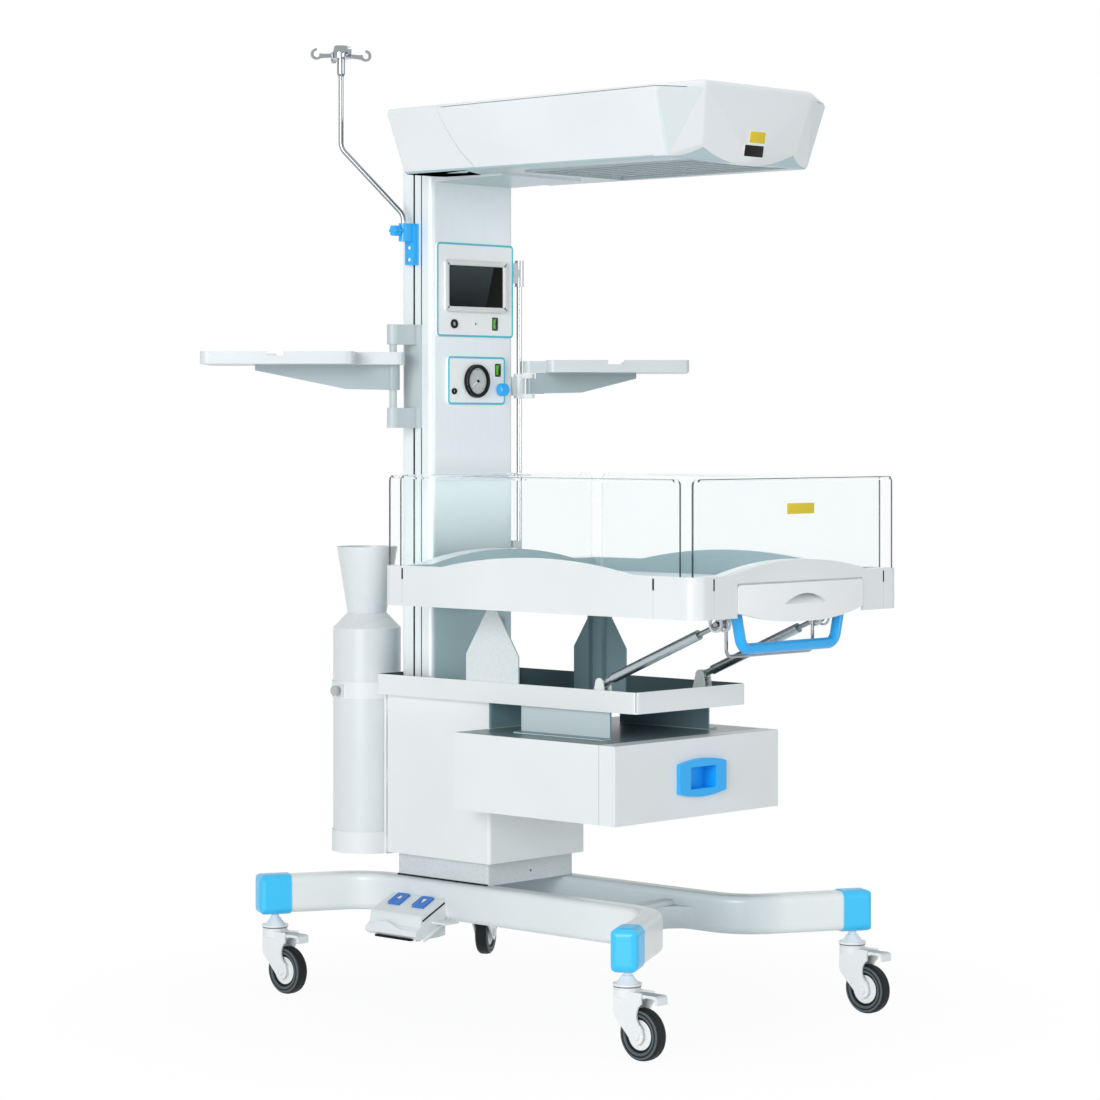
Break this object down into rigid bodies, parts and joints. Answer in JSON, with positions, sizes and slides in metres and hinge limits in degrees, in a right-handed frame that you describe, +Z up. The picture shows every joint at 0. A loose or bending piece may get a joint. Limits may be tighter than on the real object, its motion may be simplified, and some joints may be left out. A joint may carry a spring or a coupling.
{
  "type": "infant warmer",
  "caption": "Open infant care bed with overhead radiant heater, tilting bassinet with clear sides, lifting column, shelves, infusion pole, gas cylinder and castor base.",
  "frame": {"origin": "on the floor, midway between the front and rear castor stems and between the two sides", "axes": "+Z up, the foot end with the handle faces -Y, the mast stands toward +Y, +X to the right seen from the foot end"},
  "size_m": [1.0184, 1.3274, 2.005],
  "materials": {
    "frame_paint": "satin",
    "blue_plastic": "semi-gloss",
    "grey_paint": "satin",
    "white_paint": "satin",
    "white_plastic": "satin",
    "tyre": "matt",
    "mast_metal": "satin lacquer",
    "panel_plate": "satin",
    "screen": "gloss",
    "black_plastic": "satin",
    "chrome": "polished",
    "steel": "brushed",
    "rod_chrome": "polished",
    "cylinder_paint": "gloss",
    "mattress_cover": "coated cloth",
    "clear_acrylic": "clear"
  },
  "bodies": {
    "base": {"base_frame": "frame_paint", "rail_caps": "blue_plastic", "plinth": "grey_paint", "pedal_housing": "white_plastic"},
    "pedal_up": {"pedal_up": "blue_plastic"},
    "pedal_down": {"pedal_down": "blue_plastic"},
    "castor_fl": {"castor_fork_fl": "frame_paint"},
    "wheel_fl": {"castor_wheel_fl": "tyre"},
    "brake_fl": {"castor_brake_fl": "white_paint"},
    "castor_fr": {"castor_fork_fr": "frame_paint"},
    "wheel_fr": {"castor_wheel_fr": "tyre"},
    "brake_fr": {"castor_brake_fr": "white_paint"},
    "castor_rl": {"castor_fork_rl": "frame_paint"},
    "wheel_rl": {"castor_wheel_rl": "tyre"},
    "brake_rl": {"castor_brake_rl": "white_paint"},
    "castor_rr": {"castor_fork_rr": "frame_paint"},
    "wheel_rr": {"castor_wheel_rr": "tyre"},
    "brake_rr": {"castor_brake_rr": "white_paint"},
    "lift": {"cabinet": "white_paint", "platform": "white_paint", "pivot_supports": "grey_paint", "drawer_case": "white_paint", "mast": "mast_metal", "accessory_rail": "chrome", "upper_panel": "panel_plate", "display": "screen", "lower_panel": "panel_plate", "hood_rear": "white_plastic", "hood_front": "white_plastic", "hood_top": "white_plastic", "heater_housing": "steel", "heater_grille": "steel", "shelf_bracket_left": "white_paint", "shelf_clamp_right": "white_paint", "gas_cylinder": "cylinder_paint", "cylinder_cradle": "white_paint"},
    "drawer": {"drawer": "white_paint", "drawer_handle": "blue_plastic"},
    "bed": {"bed_shell": "white_plastic", "mattress": "mattress_cover", "u_handle": "blue_plastic"},
    "cassette": {"cassette_tray": "white_plastic"},
    "panel_left": {"panel_left": "clear_acrylic"},
    "panel_right": {"panel_right": "clear_acrylic"},
    "panel_front": {"panel_front": "clear_acrylic"},
    "panel_rear": {"panel_rear": "clear_acrylic"},
    "release": {"release_bar": "chrome"},
    "strut_l": {"strut_cylinder_l": "steel"},
    "rod_l": {"strut_rod_l": "rod_chrome"},
    "strut_r": {"strut_cylinder_r": "steel"},
    "rod_r": {"strut_rod_r": "rod_chrome"},
    "shelf_left": {"shelf_left": "white_plastic"},
    "shelf_right": {"shelf_right": "white_plastic"},
    "pole_clamp": {"pole_clamp": "blue_plastic"},
    "pole": {"iv_pole": "chrome"},
    "pole_knob": {"pole_knob": "blue_plastic"},
    "strap_screw": {"strap_screw": "black_plastic"},
    "power_rocker": {"power_rocker": "black_plastic"},
    "flow_rocker": {"flow_rocker": "black_plastic"},
    "flow_knob": {"flow_knob": "blue_plastic"}
  },
  "joints": [
    {"name": "pedal_up_press", "type": "slide", "parent": "base", "child": "pedal_up", "axis": [0.4384, 0, -0.8988], "range_m": [0, 0.0025], "stiffness_N_per_m": 2000},
    {"name": "pedal_down_press", "type": "slide", "parent": "base", "child": "pedal_down", "axis": [0.4384, 0, -0.8988], "range_m": [0, 0.0025], "stiffness_N_per_m": 2000},
    {"name": "castor_fl_swivel", "type": "hinge", "parent": "base", "child": "castor_fl", "pos_m": [-0.346, -0.518, 0.14], "axis": [0, 0, 1], "continuous": true},
    {"name": "wheel_fl_roll", "type": "hinge", "parent": "castor_fl", "child": "wheel_fl", "pos_m": [-0.346, -0.558, 0.05], "axis": [1, 0, 0], "continuous": true},
    {"name": "brake_fl_press", "type": "hinge", "parent": "castor_fl", "child": "brake_fl", "pos_m": [-0.346, -0.552, 0.12], "axis": [1, 0, 0], "range_deg": [0, 12]},
    {"name": "castor_fr_swivel", "type": "hinge", "parent": "base", "child": "castor_fr", "pos_m": [0.346, -0.518, 0.14], "axis": [0, 0, 1], "continuous": true},
    {"name": "wheel_fr_roll", "type": "hinge", "parent": "castor_fr", "child": "wheel_fr", "pos_m": [0.346, -0.558, 0.05], "axis": [1, 0, 0], "continuous": true},
    {"name": "brake_fr_press", "type": "hinge", "parent": "castor_fr", "child": "brake_fr", "pos_m": [0.346, -0.552, 0.12], "axis": [1, 0, 0], "range_deg": [0, 12]},
    {"name": "castor_rl_swivel", "type": "hinge", "parent": "base", "child": "castor_rl", "pos_m": [-0.313, 0.518, 0.14], "axis": [0, 0, 1], "continuous": true},
    {"name": "wheel_rl_roll", "type": "hinge", "parent": "castor_rl", "child": "wheel_rl", "pos_m": [-0.313, 0.478, 0.05], "axis": [1, 0, 0], "continuous": true},
    {"name": "brake_rl_press", "type": "hinge", "parent": "castor_rl", "child": "brake_rl", "pos_m": [-0.313, 0.484, 0.12], "axis": [1, 0, 0], "range_deg": [0, 12]},
    {"name": "castor_rr_swivel", "type": "hinge", "parent": "base", "child": "castor_rr", "pos_m": [0.313, 0.518, 0.14], "axis": [0, 0, 1], "continuous": true},
    {"name": "wheel_rr_roll", "type": "hinge", "parent": "castor_rr", "child": "wheel_rr", "pos_m": [0.34764, 0.538, 0.05], "axis": [-0.5, 0.866, 0], "continuous": true},
    {"name": "brake_rr_press", "type": "hinge", "parent": "castor_rr", "child": "brake_rr", "pos_m": [0.34244, 0.535, 0.12], "axis": [-0.5, 0.866, 0], "range_deg": [0, 12]},
    {"name": "lift", "type": "slide", "parent": "base", "child": "lift", "axis": [0, 0, 1], "range_m": [-0.03, 0.16]},
    {"name": "drawer_pull", "type": "slide", "parent": "lift", "child": "drawer", "axis": [0, -1, 0], "range_m": [0, 0.3]},
    {"name": "bed_tilt", "type": "hinge", "parent": "lift", "child": "bed", "pos_m": [0, 0.018, 0.85], "axis": [1, 0, 0], "range_deg": [-8, 8]},
    {"name": "cassette_pull", "type": "slide", "parent": "bed", "child": "cassette", "axis": [0, -1, 0], "range_m": [0, 0.25]},
    {"name": "panel_left_lift", "type": "slide", "parent": "bed", "child": "panel_left", "axis": [0, 0, 1], "range_m": [0, 0.033]},
    {"name": "panel_right_lift", "type": "slide", "parent": "bed", "child": "panel_right", "axis": [0, 0, 1], "range_m": [0, 0.033]},
    {"name": "panel_front_lift", "type": "slide", "parent": "bed", "child": "panel_front", "axis": [0, 0, 1], "range_m": [0, 0.033]},
    {"name": "panel_rear_lift", "type": "slide", "parent": "bed", "child": "panel_rear", "axis": [0, 0, 1], "range_m": [0, 0.033]},
    {"name": "release_squeeze", "type": "hinge", "parent": "bed", "child": "release", "pos_m": [0, -0.584, 0.844], "axis": [1, 0, 0], "range_deg": [-12, 0], "stiffness_Nm_per_rad": 1},
    {"name": "strut_l_swing", "type": "hinge", "parent": "lift", "child": "strut_l", "pos_m": [-0.153, -0.28, 0.689], "axis": [1, 0, 0], "range_deg": [-14, 14]},
    {"name": "rod_l_slide", "type": "slide", "parent": "strut_l", "child": "rod_l", "axis": [0, -0.9199, 0.3921], "range_m": [-0.038, 0.038]},
    {"name": "strut_r_swing", "type": "hinge", "parent": "lift", "child": "strut_r", "pos_m": [0.153, -0.28, 0.689], "axis": [1, 0, 0], "range_deg": [-14, 14]},
    {"name": "rod_r_slide", "type": "slide", "parent": "strut_r", "child": "rod_r", "axis": [0, -0.9199, 0.3921], "range_m": [-0.038, 0.038]},
    {"name": "shelf_left_swing", "type": "hinge", "parent": "lift", "child": "shelf_left", "pos_m": [-0.1867, 0.288, 1.31], "axis": [0, 0, 1], "range_deg": [-40, 120]},
    {"name": "shelf_right_swing", "type": "hinge", "parent": "lift", "child": "shelf_right", "pos_m": [0.16646, 0.22553, 1.29], "axis": [0, 0, 1], "range_deg": [-45, 75]},
    {"name": "clamp_height", "type": "slide", "parent": "lift", "child": "pole_clamp", "axis": [0, 0, 1], "range_m": [-0.1, 0.06]},
    {"name": "pole_swing", "type": "hinge", "parent": "pole_clamp", "child": "pole", "pos_m": [-0.1562, 0.288, 1.6], "axis": [0, 0, 1], "range_deg": [-65, 50]},
    {"name": "pole_knob_turn", "type": "hinge", "parent": "pole_clamp", "child": "pole_knob", "pos_m": [-0.18, 0.288, 1.614], "axis": [-1, 0, 0], "continuous": true},
    {"name": "strap_screw_turn", "type": "hinge", "parent": "lift", "child": "strap_screw", "pos_m": [-0.205, 0.44, 0.6375], "axis": [-1, 0, 0], "continuous": true},
    {"name": "power_switch", "type": "hinge", "parent": "lift", "child": "power_rocker", "pos_m": [0.061, 0.233, 1.421], "axis": [1, 0, 0], "range_deg": [-14, 0]},
    {"name": "flow_switch", "type": "hinge", "parent": "lift", "child": "flow_rocker", "pos_m": [0.07, 0.233, 1.322], "axis": [1, 0, 0], "range_deg": [-14, 0]},
    {"name": "flow_turn", "type": "hinge", "parent": "lift", "child": "flow_knob", "pos_m": [0.079, 0.22, 1.28], "axis": [0, -1, 0], "range_deg": [0, 270]}
  ],
  "couplings": [
    {"joint": "strut_l_swing", "follows": "bed_tilt", "ratio": 1.625},
    {"joint": "strut_r_swing", "follows": "bed_tilt", "ratio": 1.625},
    {"joint": "rod_l_slide", "follows": "bed_tilt", "m_per_rad": -0.2602},
    {"joint": "rod_r_slide", "follows": "bed_tilt", "m_per_rad": -0.2602}
  ]
}
